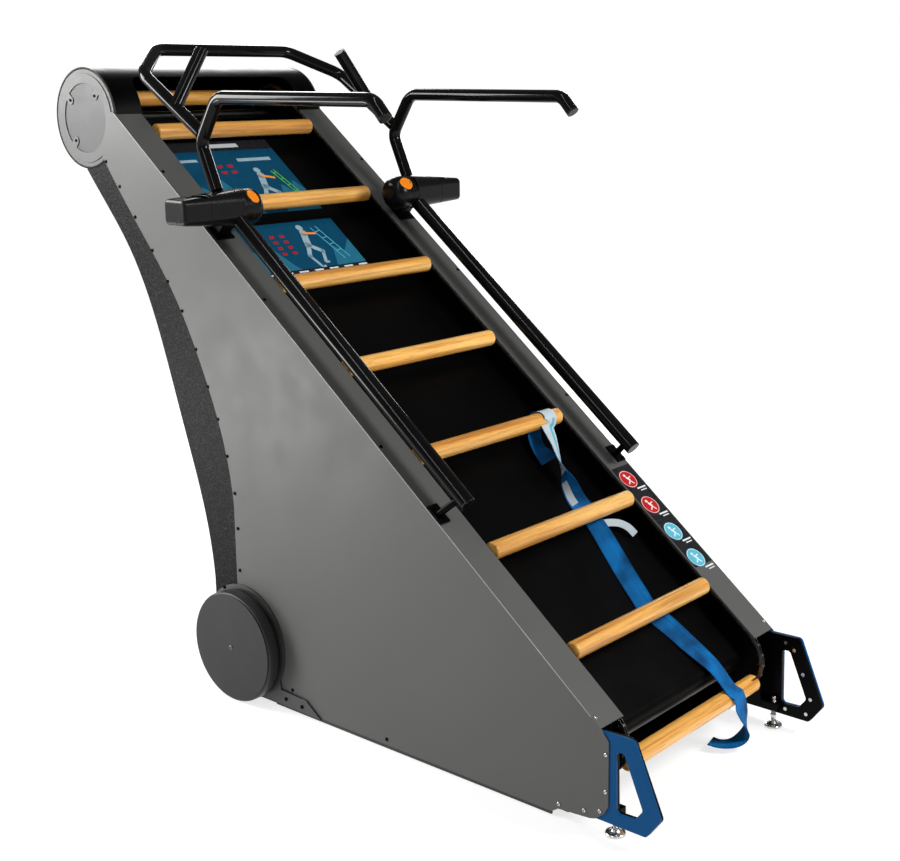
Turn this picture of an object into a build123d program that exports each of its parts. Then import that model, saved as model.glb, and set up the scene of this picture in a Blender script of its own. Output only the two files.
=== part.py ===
"""Vertical climber machine with an endless ladder. Millimetres, X across, -Y the user's end, +Z up.

Side profiles are written as (v, z): v is measured along +Y from the axis of rung 8, z from the floor.
Slope places are written as (t, n): t up the ladder from rung 8, n square to the ladder plane.
"""

import math
import os

from build123d import *

# Driving dimensions
PITCH = 286.5
SLOPE = 38.3
RUNG8_Y = -680.8
RUNG8_Z = 340.0
RUNG_R = 21.0
RUNG_HALF = 262.5
CHAIN_R = 80.0
T_LOW = -165.8
T_UP = T_LOW + 8 * PITCH - math.pi * CHAIN_R
SHAFT_N = -CHAIN_R
SHAFT_R = 12.5
RUN_FIT = 0.05

PANEL_X = 351.0
SHEET = 2.0
FLANGE_IN = 270.0
FLANGE_N = 9.0
GUARD_X = 300.0
DRUM_R = 128.5
DECK_N = -50.0
NOSE_X = 261.0
CHAIN_X = 277.0

TUBE_R = 16.0
TUBE_WALL = 2.0
UPRIGHT_X = 330.0
RAIL_X = 312.0
RAIL_R = 19.0
RAIL_N = 77.0
CONSOLE_V = 1003.0
CONSOLE_Z = 1235.0
CONSOLE_R = 44.0
CUP_X = 408.0
CUP_R = 34.0
CUP_FLOOR = 11.0
HOLDER_X = 300.3
HOLDER_END = 478.0

WHEEL_V = 970.0
WHEEL_R = 142.0
WHEEL_OUT = 400.0
AXLE_R = 10.0
FOOT_X = 328.0
FOOT_V = -168.0

STRAP_W = 46.0
STRAP_T = 1.6

COS = math.cos(math.radians(SLOPE))
SIN = math.sin(math.radians(SLOPE))


# Places
def slope(t, n):
    """(y, z) of a place on the ladder slope."""
    return (RUNG8_Y + t * COS - n * SIN, RUNG8_Z + t * SIN + n * COS)


def side(v, z):
    """(y, z) of a side-profile place."""
    return (RUNG8_Y + v, z)


def slope_point(x, t, n):
    y, z = slope(t, n)
    return Vector(x, y, z)


def side_point(x, v, z):
    return Vector(x, RUNG8_Y + v, z)


UP_Y, UP_Z = slope(T_UP, SHAFT_N)
LOW_Y, LOW_Z = slope(T_LOW, SHAFT_N)


# Shapes
def extrude_x(face, x0, x1):
    """Face drawn in (y, z), made solid from x0 to x1."""
    low, high = min(x0, x1), max(x0, x1)
    return extrude(Plane.YZ.offset(low) * face, amount=high - low)


def plate(points, x0, x1):
    return extrude_x(make_face(Polyline(*points, close=True)), x0, x1)


def rounded_plate(points, radius, x0, x1):
    face = make_face(Polyline(*points, close=True))
    return extrude_x(fillet(face.vertices(), radius), x0, x1)


def slope_box(t0, t1, n0, n1, x0, x1):
    return plate([slope(t0, n0), slope(t1, n0), slope(t1, n1), slope(t0, n1)], x0, x1)


def disc(y, z, radius, x0, x1):
    low, high = min(x0, x1), max(x0, x1)
    place = Pos(low, y, z) * Rot(0, 90, 0)
    return place * Cylinder(radius, high - low, align=(Align.CENTER, Align.CENTER, Align.MIN))


def ring(y, z, outer, inner, x0, x1):
    low, high = min(x0, x1), max(x0, x1)
    return disc(y, z, outer, low, high) - disc(y, z, inner, low - 1, high + 1)


def block(x0, x1, y0, y1, z0, z1):
    size = (abs(x1 - x0), abs(y1 - y0), abs(z1 - z0))
    return Pos((x0 + x1) / 2, (y0 + y1) / 2, (z0 + z1) / 2) * Box(*size)


def box_tube(x0, x1, y0, y1, z0, z1, axis, wall=2.5):
    """Open-ended box tube along X, Y or Z."""
    grow = {"x": (1, -wall, -wall), "y": (-wall, 1, -wall), "z": (-wall, -wall, 1)}[axis]
    inner = block(x0 - grow[0], x1 + grow[0], y0 - grow[1], y1 + grow[1], z0 - grow[2], z1 + grow[2])
    return block(x0, x1, y0, y1, z0, z1) - inner


def swept(points, radius, bend):
    path = FilletPolyline(*points, radius=bend)
    start = Plane(path @ 0, z_dir=path % 0)
    return sweep(start * Circle(radius), path=path)


def bent_tube(points, bend, radius=TUBE_R, wall=TUBE_WALL):
    return swept(points, radius, bend) - swept(points, radius - wall, bend)


def rod(start, end, radius):
    place = Plane(start, z_dir=end - start)
    length = (end - start).length
    return place * Cylinder(radius, length, align=(Align.CENTER, Align.CENTER, Align.MIN))


def mirrored(shape):
    return mirror(shape, about=Plane.YZ)


def both(shape):
    """The shape and its mirror image as two solids of one node."""
    return Compound(children=[*shape.solids(), *mirrored(shape).solids()])


def group(shapes):
    return Compound(children=[solid for shape in shapes for solid in shape.solids()])


def save(name, shape):
    os.makedirs("parts", exist_ok=True)
    solids = shape.solids()
    whole = solids[0] if len(solids) == 1 else Compound(children=list(solids))
    export_step(whole, f"parts/{name}.step")


def save_pair(name, right):
    save(name + "_right", right)
    save(name + "_left", mirrored(right))


# Side profile of the outer panel
REAR_EDGE = [(1449, 1336), (1299, 1148), (1179, 994), (1097, 843), (1031, 681), (994, 500)]
PANEL_FOOT = [(994, 12), (-16, 10), (-34, 22), (-118, 29), (-132, 33), (-154, 50), (-165, 70), (-165, 215), (-153, 229)]
GUARD_FOOT = [(980, 60), (-150, 60)]
COVER_EDGE = [(1530, 1309), (1475, 1246), (1366, 1115), (1274, 940), (1188, 694), (1110, 450), (1084, 287)]
FLANGE_LOW_T = -176.0
FLANGE_TOP_T = 1791.0
DRUM_SEAM = 113.5
DRUM_WINDOW = 88.5
DRUM_TABS = (37, 130, 308)


def panel_face(foot_profile, inset=0.0, top_n=FLANGE_N):
    """Side outline in (y, z); inset moves the rear edge inwards."""
    rear = [side(v - inset, z + inset / 2) for v, z in REAR_EDGE]
    foot = [side(v, z) for v, z in foot_profile]
    low = slope(FLANGE_LOW_T + inset, top_n)
    top = slope(FLANGE_TOP_T, top_n)
    drum_low = (UP_Y, UP_Z)
    edges = [
        Spline(*rear),
        Polyline(rear[-1], *foot, low, top, drum_low, rear[0]),
    ]
    return make_face(edges)


def side_panel():
    sheet = extrude_x(panel_face(PANEL_FOOT), PANEL_X - SHEET, PANEL_X)
    sheet += disc(UP_Y, UP_Z, DRUM_SEAM, PANEL_X - SHEET, PANEL_X)
    sheet -= drum_opening(PANEL_X - SHEET - 1, PANEL_X + 1)
    flange = slope_box(FLANGE_LOW_T, FLANGE_TOP_T, FLANGE_N - SHEET, FLANGE_N, FLANGE_IN, PANEL_X)
    lip = slope_box(FLANGE_LOW_T, FLANGE_TOP_T, FLANGE_N - 5, FLANGE_N, FLANGE_IN, FLANGE_IN + SHEET)
    drum = disc(UP_Y, UP_Z, DRUM_R + 0.6, FLANGE_IN - 1, PANEL_X - SHEET - 0.01)
    return sheet + ((flange + lip) - drum)


def drum_spots(radius):
    """(y, z) of the three fixing places on the end of the top cylinder."""
    spots = []
    for angle in DRUM_TABS:
        a = math.radians(angle)
        spots.append((UP_Y + radius * math.cos(a), UP_Z + radius * math.sin(a)))
    return spots


def drum_opening(x0, x1):
    """Round window of the panel, less its three fixing tabs."""
    opening = disc(UP_Y, UP_Z, DRUM_WINDOW, x0, x1)
    for (y, z), (far_y, far_z) in zip(drum_spots(74), drum_spots(DRUM_WINDOW + 6)):
        opening -= disc(y, z, 11, x0 - 1, x1 + 1)
        length = math.hypot(far_y - y, far_z - z)
        lean = math.degrees(math.atan2(far_z - z, far_y - y))
        strip = Box(x1 - x0 + 2, length, 22, align=(Align.CENTER, Align.MIN, Align.CENTER))
        opening -= Pos((x0 + x1) / 2, y, z) * Rot(lean, 0, 0) * strip
    return opening


def inner_guard():
    sheet = extrude_x(panel_face(GUARD_FOOT, 14.0, 5.5), GUARD_X - 3, GUARD_X)
    sheet += disc(UP_Y, UP_Z, DRUM_R - 8, GUARD_X - 3, GUARD_X)
    for y, z in ((UP_Y, UP_Z), (LOW_Y, LOW_Z)):
        sheet -= disc(y, z, SHAFT_R + 4, GUARD_X - 4, GUARD_X + 1)
    return sheet


# Frame
def base_rail():
    y0, y1 = RUNG8_Y - 56, RUNG8_Y + 984
    return box_tube(304, 344, y0, y1, 18, 56, "y")


def base_skid():
    y0, y1 = RUNG8_Y + 430, RUNG8_Y + 984
    return block(306, 342, y0, y1, 0, 17.8)


def base_crossbars():
    bars = []
    for v in (60, 520, 962):
        bars.append(box_tube(-303.8, 303.8, RUNG8_Y + v - 20, RUNG8_Y + v + 20, 19, 49, "x"))
    return group(bars)


def ladder_rail():
    outer = slope_box(-120, 1690, -42, -8, 304, 344)
    inner = slope_box(-121, 1691, -39.5, -10.5, 306.5, 341.5)
    return outer - inner


def rear_post():
    return box_tube(304, 344, RUNG8_Y + 945, RUNG8_Y + 981, 56.2, 1025, "z")


def deck_crossbars():
    bars = []
    for t in (120, 760, 1400):
        outer = slope_box(t, t + 30, DECK_N - 32.2, DECK_N - 2.2, -296.8, 296.8)
        inner = slope_box(t + 2, t + 28, DECK_N - 30.2, DECK_N - 4.2, -297, 297)
        bars.append(outer - inner)
    return group(bars)


def deck():
    """Sheet between the two runs, rolled round the lower shaft."""
    nose = DECK_N - SHAFT_N
    low = T_LOW
    wide = slope_box(low + 100, 1730, DECK_N - SHEET, DECK_N, -296.5, 296.5)
    narrow = slope_box(low, low + 101, DECK_N - SHEET, DECK_N, -NOSE_X, NOSE_X)
    under_n = SHAFT_N - nose
    under = slope_box(low, low + 90, under_n, under_n + SHEET, -NOSE_X, NOSE_X)
    roll = ring(LOW_Y, LOW_Z, nose, nose - SHEET, -NOSE_X, NOSE_X)
    roll -= slope_box(low, low + 60, SHAFT_N - 60, SHAFT_N + 60, -300, 300)
    return wide + narrow + under + roll


def bottom_pan():
    floor = block(-296.5, 296.5, RUNG8_Y - 45, RUNG8_Y + 320, 57, 59)
    rear = block(-296.5, 296.5, RUNG8_Y + 318, RUNG8_Y + 320, 57, 110)
    return floor + rear


def rear_cover():
    """Curved tray: back sheet with two side cheeks."""
    outer = [side(v, z) for v, z in COVER_EDGE]
    inner = [side(v - 14, z + 4) for v, z in REAR_EDGE]
    ends = Polyline(outer[-1], side(1084, 30), side(980, 30), inner[-1])
    face = make_face([Spline(*outer), ends, Spline(*inner), Line(inner[0], outer[0])])
    solid = extrude_x(face, -348.6, 348.6)
    hollow = Pos(0, -2.2, 1.3) * extrude_x(face, -346.6, 346.6)
    wide = Pos(0, -14, 6) * extrude_x(face, -346.6, 346.6)
    floor = block(-346.6, 346.6, RUNG8_Y + 970, RUNG8_Y + 1081.8, 20, 60)
    seat = disc(UP_Y, UP_Z, DRUM_R + 0.2, PANEL_X - 5.2, PANEL_X)
    return solid - hollow - wide - floor - seat - mirrored(seat)


def drum_cover():
    shell = ring(UP_Y, UP_Z, DRUM_R, DRUM_R - 2.4, -345.8, 345.8)
    for angle0, angle1 in ((175, 226), (226, 276)):
        shell -= wedge(angle0, angle1)
    window = window_face()
    return shell - window


def wedge(angle0, angle1):
    reach = DRUM_R * 1.6
    corners = [(UP_Y, UP_Z)]
    for angle in (angle0, (angle0 + angle1) / 2, angle1):
        a = math.radians(angle)
        corners.append((UP_Y + reach * math.cos(a), UP_Z + reach * math.sin(a)))
    return plate(corners, -360, 360)


def window_face():
    """Rounded slot cut through the front of the top cylinder."""
    top = UP_Z + DRUM_R * math.sin(math.radians(126))
    low = UP_Z - DRUM_R
    outline = RectangleRounded(2 * (FLANGE_IN - 4), top - low, 26)
    place = Plane(origin=(0, UP_Y - DRUM_R - 40, (top + low) / 2), x_dir=(1, 0, 0), z_dir=(0, 1, 0))
    return extrude(place * outline, amount=DRUM_R + 20)


def drum_ring():
    return ring(UP_Y, UP_Z, DRUM_R, 98, PANEL_X - 5, PANEL_X - SHEET - 0.1)


def drum_disc():
    return disc(UP_Y, UP_Z, 97.8, PANEL_X - 4.5, PANEL_X - SHEET - 0.1)


# Ladder drive
def rung(axis_y, axis_z, out_angle):
    """Dowel along X with an end slot on its trailing side, over the steel pin."""
    dowel = disc(axis_y, axis_z, RUNG_R, -RUNG_HALF, RUNG_HALF)
    dowel = fillet(dowel.edges().filter_by(GeomType.CIRCLE), 5)
    slot = Pos(0, 0, RUNG_R / 2) * Box(30, 5, RUNG_R)
    for sign in (-1, 1):
        spot = Pos(sign * (RUNG_HALF - 12), axis_y, axis_z) * Rot(out_angle - 180, 0, 0)
        dowel -= spot * slot
        dowel -= disc(axis_y, axis_z, 2.5, sign * (RUNG_HALF - 43), sign * (RUNG_HALF + 1))
    return dowel


def rung_places():
    """Sixteen rungs round the loop as (number, y, z, outward angle)."""
    places = []
    arc = math.pi * CHAIN_R
    straight = T_UP - T_LOW
    for number in range(1, 17):
        run = (8 - number) * PITCH - T_LOW
        run %= 16 * PITCH
        if run <= straight:
            y, z = slope(T_LOW + run, 0)
            angle = SLOPE + 90
        elif run <= straight + arc:
            turn = (run - straight) / CHAIN_R
            angle = SLOPE + 90 - math.degrees(turn)
            y, z = around(UP_Y, UP_Z, angle)
        elif run <= 2 * straight + arc:
            y, z = slope(T_UP - (run - straight - arc), -2 * CHAIN_R)
            angle = SLOPE - 90
        else:
            turn = (run - 2 * straight - arc) / CHAIN_R
            angle = SLOPE - 90 - math.degrees(turn)
            y, z = around(LOW_Y, LOW_Z, angle)
        places.append((number, y, z, angle))
    return places


def around(y, z, angle):
    a = math.radians(angle)
    return y + CHAIN_R * math.cos(a), z + CHAIN_R * math.sin(a)


def rung_pin(y, z):
    return both(disc(y, z, 2.2, RUNG_HALF - 42, CHAIN_X - 5.6))


def loop_band(grow, x0, x1):
    band = slope_box(T_LOW, T_UP, SHAFT_N - CHAIN_R - grow, grow, x0, x1)
    band += disc(UP_Y, UP_Z, CHAIN_R + grow, x0, x1)
    return band + disc(LOW_Y, LOW_Z, CHAIN_R + grow, x0, x1)


def chain():
    return loop_band(5, CHAIN_X - 5, CHAIN_X + 5) - loop_band(-5, CHAIN_X - 6, CHAIN_X + 6)


def sprocket(y, z, phase):
    """Toothed disc that runs just inside the chain."""
    body = disc(y, z, 73, CHAIN_X - 3, CHAIN_X + 3)
    for index in range(20):
        a = math.radians(phase + index * 18)
        gap_y, gap_z = y + 75 * math.cos(a), z + 75 * math.sin(a)
        body -= disc(gap_y, gap_z, 6, CHAIN_X - 4, CHAIN_X + 4)
    hub = disc(y, z, 24, CHAIN_X - 14, CHAIN_X + 14)
    return body + hub - disc(y, z, SHAFT_R + 0.02, CHAIN_X - 20, CHAIN_X + 20)


def bearings():
    shapes = []
    for y, z in ((UP_Y, UP_Z), (LOW_Y, LOW_Z)):
        body = ring(y, z, 34, SHAFT_R + RUN_FIT, GUARD_X + 0.2, GUARD_X + 12)
        body += ring(y, z, 24, SHAFT_R + RUN_FIT, GUARD_X + 0.2, GUARD_X + 19)
        shapes.append(both(body))
    return group(shapes)


# Speed governor on the right-hand side
BRAKE_T = 1560.0
BRAKE_N = -122.0
BIG_PULLEY = 56.0
SMALL_PULLEY = 26.0
BRAKE_Y, BRAKE_Z = slope(BRAKE_T, BRAKE_N)


def brake_belt():
    """Flat belt round the two pulleys, straight runs tangent to both."""
    near, far = BIG_PULLEY, SMALL_PULLEY
    outer = belt_fill(near + 2.6, far + 2.6)
    return outer - belt_fill(near + 0.4, far + 0.4)


def belt_fill(big, small):
    dy, dz = BRAKE_Y - UP_Y, BRAKE_Z - UP_Z
    gap = math.hypot(dy, dz)
    heading = math.atan2(dz, dy)
    lean = math.acos((big - small) / gap)
    corners = []
    for sign in (1, -1):
        a = heading + sign * lean
        pair = [(UP_Y + big * math.cos(a), UP_Z + big * math.sin(a))]
        pair.append((BRAKE_Y + small * math.cos(a), BRAKE_Z + small * math.sin(a)))
        corners += pair if sign == 1 else pair[::-1]
    x0, x1 = 324, 334
    fill = plate(corners, x0, x1)
    return fill + disc(UP_Y, UP_Z, big, x0, x1) + disc(BRAKE_Y, BRAKE_Z, small, x0, x1)


def brake_pulley():
    body = disc(UP_Y, UP_Z, BIG_PULLEY, 323, 335) + disc(UP_Y, UP_Z, 22, 320, 338)
    return body - disc(UP_Y, UP_Z, SHAFT_R + 0.02, 300, 345)


def brake_rotor():
    wheel = disc(BRAKE_Y, BRAKE_Z, 78, 313, 317)
    hub = disc(BRAKE_Y, BRAKE_Z, SMALL_PULLEY, 317, 335)
    return wheel + hub + disc(BRAKE_Y, BRAKE_Z, 8, 301, 338)


def brake_mount():
    """Bearing boss and magnet block, bolted to the right-hand guard."""
    boss = ring(BRAKE_Y, BRAKE_Z, 22, 8 + RUN_FIT, GUARD_X + 0.2, 310)
    t0 = BRAKE_T - 96
    magnet = slope_box(t0, t0 + 50, BRAKE_N - 32, BRAKE_N + 32, GUARD_X + 0.2, 326)
    slot = slope_box(t0 + 10, t0 + 60, BRAKE_N - 40, BRAKE_N + 40, 311, 319)
    arm = slope_box(t0 + 40, BRAKE_T - 16, BRAKE_N - 12, BRAKE_N + 12, GUARD_X + 0.2, 306)
    return boss + (magnet - slot) + arm - disc(BRAKE_Y, BRAKE_Z, 8 + RUN_FIT, 299, 312)


# Wheels, feet and lift handles
def wheel_plate():
    y, z = side(WHEEL_V, WHEEL_R)
    foot = [side(1040, 14), side(697, 10), side(748, 46), side(838, 50)]
    lean = [side(850, 120), side(900, 250), side(1000, 260), side(1080, 160)]
    body = plate(foot + lean, PANEL_X + 0.2, PANEL_X + 5)
    body += disc(y, z + 4, 148, PANEL_X + 0.2, PANEL_X + 5) - block(300, 400, 0, 600, -50, 8)
    axle = disc(y, z, AXLE_R, PANEL_X + 4, 393) + disc(y, z, 18, PANEL_X + 4, 363)
    return body + axle


def wheel_tyre():
    y, z = side(WHEEL_V, WHEEL_R)
    tyre = ring(y, z, WHEEL_R, 122, 366, 397)
    return fillet(tyre.edges().filter_by(GeomType.CIRCLE).sort_by(SortBy.RADIUS)[-2:], 4)


def wheel_hub():
    y, z = side(WHEEL_V, WHEEL_R)
    body = disc(y, z, 121.8, 380, 388) + disc(y, z, 30, 364, 394)
    return body - disc(y, z, AXLE_R + RUN_FIT, 350, 395)


def wheel_cover():
    y, z = side(WHEEL_V, WHEEL_R)
    cover = disc(y, z, 138, 397.2, WHEEL_OUT)
    return cover + disc(y, z, 6, WHEEL_OUT, WHEEL_OUT + 2)


HANDLE = [(-120, 233), (-227, 236), (-294, 80), (-259, 33), (-60, 33), (-60, 150)]
HANDLE_GAP = [(-181, 198), (-184, 61), (-230, 63), (-250, 88), (-202, 199)]


def handle_sheet(x0, x1, grow):
    outline = [side(v, z) for v, z in HANDLE]
    outline[1] = (outline[1][0] - grow, outline[1][1])
    gap = [side(v, z) for v, z in HANDLE_GAP]
    return rounded_plate(outline, 12, x0, x1) - rounded_plate(gap, 9, x0 - 1, x1 + 1)


def foot_socket():
    y, z = side(FOOT_V, 46)
    body = block(FOOT_X - 14, 337, y - 16, y + 60, z, z + 18)
    return body - Pos(FOOT_X, y, z + 9) * Cylinder(6.05, 30)


def levelling_foot():
    y = RUNG8_Y + FOOT_V
    pad = Pos(FOOT_X, y, 3.5) * Cylinder(22, 7)
    cone = Pos(FOOT_X, y, 7) * Cone(17, 8, 7, align=(Align.CENTER, Align.CENTER, Align.MIN))
    stem = Pos(FOOT_X, y, 7) * Cylinder(6, 70, align=(Align.CENTER, Align.CENTER, Align.MIN))
    nut = Pos(FOOT_X, y, 25) * extrude(RegularPolygon(7.5, 6), amount=8)
    return pad + cone + stem + nut


# Handles, rails, consoles
def front_bar_points():
    return [
        side_point(UPRIGHT_X, 1030, 1276),
        side_point(UPRIGHT_X, 1080, 1388),
        side_point(UPRIGHT_X, 1012, 1496),
        side_point(UPRIGHT_X, 491, 1496),
        side_point(UPRIGHT_X, 458, 1460),
    ]


def rear_bar_points():
    half = [
        side_point(334, 1289, 1550),
        side_point(220, 1384, 1612),
    ]
    start = side_point(UPRIGHT_X, 1077, 1411)
    other = [Vector(-p.X, p.Y, p.Z) for p in half]
    return [start, *half, *other[::-1], Vector(-start.X, start.Y, start.Z)]


def front_bar():
    return bent_tube(front_bar_points(), 42)


def rear_bar():
    solid = bent_tube(rear_bar_points(), 60)
    clear = swept(front_bar_points(), TUBE_R + 0.1, 42)
    bar = largest(solid - clear - mirrored(clear))
    grip = horn()
    return bar + grip + mirrored(grip)


def largest(shape):
    return shape.solids().sort_by(SortBy.VOLUME)[-1]


def horn():
    base = side_point(334, 1168, 1471)
    tip = side_point(235, 1183, 1606)
    tube = rod(base, tip, TUBE_R) - rod(base, tip, TUBE_R - TUBE_WALL)
    return largest(tube - swept(rear_bar_points(), TUBE_R - 1, 60))


def end_plug(point, toward, radius=TUBE_R):
    step = (toward - point).normalized()
    return rod(point + step * 0.1, point + step * 4, radius)


def end_plugs():
    points = front_bar_points()
    front = end_plug(points[-1], points[-1] * 2 - points[-2])
    base = side_point(334, 1168, 1471)
    tip = side_point(235, 1183, 1606)
    rail_low = slope_point(RAIL_X, 377.9, RAIL_N)
    rail = end_plug(rail_low, slope_point(RAIL_X, 300, RAIL_N), RAIL_R)
    return both(group([front, end_plug(tip, tip * 2 - base), rail]))


def side_rail():
    start = slope_point(RAIL_X, 378, RAIL_N)
    end = slope_point(RAIL_X, 1296, RAIL_N)
    return rod(start, end, RAIL_R) - rod(start, end, RAIL_R - 2.5)


def rail_stand():
    """Lower stand: foot plate on the flange and a post up to the rail."""
    foot = slope_box(385, 437, FLANGE_N + 0.1, FLANGE_N + 5, 318, 348)
    post = rod(slope_point(334, 410, FLANGE_N + 4.5), slope_point(316, 400, RAIL_N - 8), 8)
    rail = rod(slope_point(RAIL_X, 300, RAIL_N), slope_point(RAIL_X, 500, RAIL_N), RAIL_R + 0.1)
    return largest(foot + post - rail)


def console_barrel():
    y, z = side(CONSOLE_V, CONSOLE_Z)
    barrel = disc(y, z, CONSOLE_R, 231, HOLDER_X - 0.3)
    inner = barrel.edges().filter_by(GeomType.CIRCLE).sort_by(Axis.X)[0]
    return fillet(inner, 30)


def console():
    body = console_barrel() - tube_passages()
    normal = Vector(-0.25, -0.72, 0.64).normalized()
    spot = badge_origin()
    body -= Plane(spot - normal * 4, z_dir=normal) * Cylinder(19.6, 40, align=LOW)
    return largest(body)


def tube_passages():
    """Room for the upright and for the side rail where they end in the housings."""
    start = slope_point(RAIL_X, 1200, RAIL_N)
    rail = rod(start, slope_point(RAIL_X, 1296.4, RAIL_N), RAIL_R + 0.2)
    return swept(front_bar_points(), TUBE_R + 0.2, 42) + rail


LOW = (Align.CENTER, Align.CENTER, Align.MIN)


def badge_origin():
    y, z = side(CONSOLE_V, CONSOLE_Z)
    normal = Vector(-0.25, -0.72, 0.64).normalized()
    return Vector(276, y, z) + normal * (CONSOLE_R - 3)


def badge():
    normal = Vector(-0.25, -0.72, 0.64).normalized()
    return Plane(badge_origin() - normal * 3.9, z_dir=normal) * Cylinder(19.3, 5, align=LOW)


def holder_shape(grow=0.0):
    """Tapered housing that carries the cup pocket."""
    y, z = side(CONSOLE_V, CONSOLE_Z)
    sections = []
    for x, width, height, radius in ((HOLDER_X, 87, 87, 30), (HOLDER_END, 78, 60, 12)):
        place = Plane(origin=(x, y, z), x_dir=(0, 1, 0), z_dir=(1, 0, 0))
        sections.append(place * RectangleRounded(width + 2 * grow, height + 2 * grow, radius))
    return loft(sections, ruled=True)


def cup_holder():
    y, z = side(CONSOLE_V, CONSOLE_Z)
    body = holder_shape()
    body = fillet(body.faces().sort_by(Axis.X)[-1].edges(), 7)
    pocket = Pos(CUP_X, y, z - CUP_FLOOR) * Cylinder(CUP_R, 80, align=LOW)
    return largest(body - pocket - tube_passages())


def console_mount():
    y, z = side(CONSOLE_V, CONSOLE_Z)
    post = slope_box(1322, 1366, FLANGE_N + 0.1, 60, 296, 333)
    plate_low = slope_box(1308, 1380, FLANGE_N + 0.1, FLANGE_N + 5, 290, 343)
    return largest(plate_low + post - holder_shape(0.3) - disc(y, z, CONSOLE_R + 0.2, 280, HOLDER_X + 0.1))


# Printed panels, strap
def deck_graphic():
    top = DECK_N + 0.9
    upper = slope_box(1440, 1728, DECK_N + 0.1, top, -262, 130)
    lower = slope_box(1213, 1400, DECK_N + 0.1, top, -262, 130)
    return group([upper, lower])


def flange_label():
    return slope_box(45, 372, FLANGE_N + 0.05, FLANGE_N + 0.6, 274, 347)


def ribbon(points):
    """Flat strap through (x, t, n) places, its width along X."""
    sections = []
    for index, (x, t, n) in enumerate(points):
        before = points[max(index - 1, 0)]
        after = points[min(index + 1, len(points) - 1)]
        dt, dn = after[1] - before[1], after[2] - before[2]
        size = math.hypot(dt, dn)
        ut, un = -dn / size * STRAP_T / 2, dt / size * STRAP_T / 2
        corners = []
        for side_x, s in ((-1, -1), (1, -1), (1, 1), (-1, 1)):
            corners.append(slope_point(x + side_x * STRAP_W / 2, t + s * ut, n + s * un))
        sections.append(make_face(Polyline(*corners, close=True)))
    solid = None
    for first, second in zip(sections, sections[1:]):
        piece = loft([first, second], ruled=True)
        solid = piece if solid is None else solid + piece
    return solid


def strap():
    """Webbing from its loop over rung 6, behind rung 7, to the back of rung 8."""
    r = RUNG_R + 2.4
    six = 2 * PITCH
    loop = []
    for angle in (200, 160, 125, 90, 55, 20, -10):
        a = math.radians(angle)
        loop.append((204, six + r * math.cos(a), r * math.sin(a)))
    loop = loop[::-1]
    back = [(196, 530, -18), (190, 470, -30), (165, 340, -32), (146, PITCH, -30), (135, 236, -25)]
    lower = [(112, 190, -10), (80, 100, -14), (60, 36, -30), (52, 0, -30)]
    return ribbon(loop + back + lower)


def strap_tail():
    """Webbing from behind rung 8, over rung 9, with its free end hanging."""
    places = [(50, -6, -30), (60, -40, -36), (86, -80, -38), (130, -140, -34), (176, -200, -40)]
    cy, cz = LOW_Y, LOW_Z
    turn = math.radians(SLOPE + 90 + math.degrees((PITCH + T_LOW) / CHAIN_R))
    y9, z9 = cy + CHAIN_R * math.cos(turn), cz + CHAIN_R * math.sin(turn)
    c9t = (y9 - RUNG8_Y) * COS + (z9 - RUNG8_Z) * SIN
    c9n = -(y9 - RUNG8_Y) * SIN + (z9 - RUNG8_Z) * COS
    r = RUNG_R + 2.4
    for angle in (75, 105, 135, 160):
        a = math.radians(angle)
        places.append((192, c9t + r * math.cos(a), c9n + r * math.sin(a)))
    for x, dv, z in ((194, -36, 92), (190, -32, 62), (176, -14, 46)):
        y = y9 + dv
        t = (y - RUNG8_Y) * COS + (z - RUNG8_Z) * SIN
        n = -(y - RUNG8_Y) * SIN + (z - RUNG8_Z) * COS
        places.append((x, t, n))
    return ribbon(places)


# Fasteners
def screw_on_panel(v, z):
    y, z = side(v, z)
    return disc(y, z, 4.5, PANEL_X + 0.05, PANEL_X + 2.6)


def panel_screws():
    rear = [(1441, 1331), (1389, 1270), (1331, 1196), (1268, 1116), (1212, 1042), (1160, 972)]
    rear += [(1113, 880), (1074, 790), (1040, 712), (1010, 622), (988, 530), (982, 440), (982, 330)]
    low = [(800, 58), (475, 26), (-36, 34), (-103, 42), (-144, 54), (-158, 102), (-158, 185)]
    heads = [screw_on_panel(v, z) for v, z in rear + low]
    for t in (-150, 620, 1100, 1560):
        y, z = slope(t, FLANGE_N + 0.05)
        place = Plane(origin=(342, y, z), z_dir=(0, -SIN, COS))
        heads.append(place * Cylinder(4.5, 2.4, align=LOW))
    return both(group(heads))


def drum_screws():
    heads = [disc(y, z, 4, PANEL_X + 0.05, PANEL_X + 2.4) for y, z in drum_spots(74)]
    return both(group(heads))


def handle_bolts():
    spots = [(-190, 219), (-214, 205), (-240, 150), (-262, 92), (-252, 52), (-196, 50)]
    heads = []
    for v, z in spots:
        y, z = side(v, z)
        heads.append(disc(y, z, 4.5, 333.4, 335.95))
    return both(group(heads))


def wheel_screws():
    heads = []
    for v, z in ((762, 26), (1040, 12 + 262), (820, 30)):
        y, z = side(v, z)
        heads.append(disc(y, z, 5, PANEL_X + 5.05, PANEL_X + 8))
    return both(group(heads))


def stand_bolts():
    heads = []
    for t in (392, 430):
        y, z = slope(t, FLANGE_N + 5.05)
        place = Plane(origin=(341, y, z), z_dir=(0, -SIN, COS))
        heads.append(place * Cylinder(4.5, 3.5, align=LOW))
    return both(group(heads))


def all_screws():
    shapes = [panel_screws(), drum_screws(), handle_bolts(), wheel_screws(), stand_bolts()]
    return group(shapes)


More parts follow.
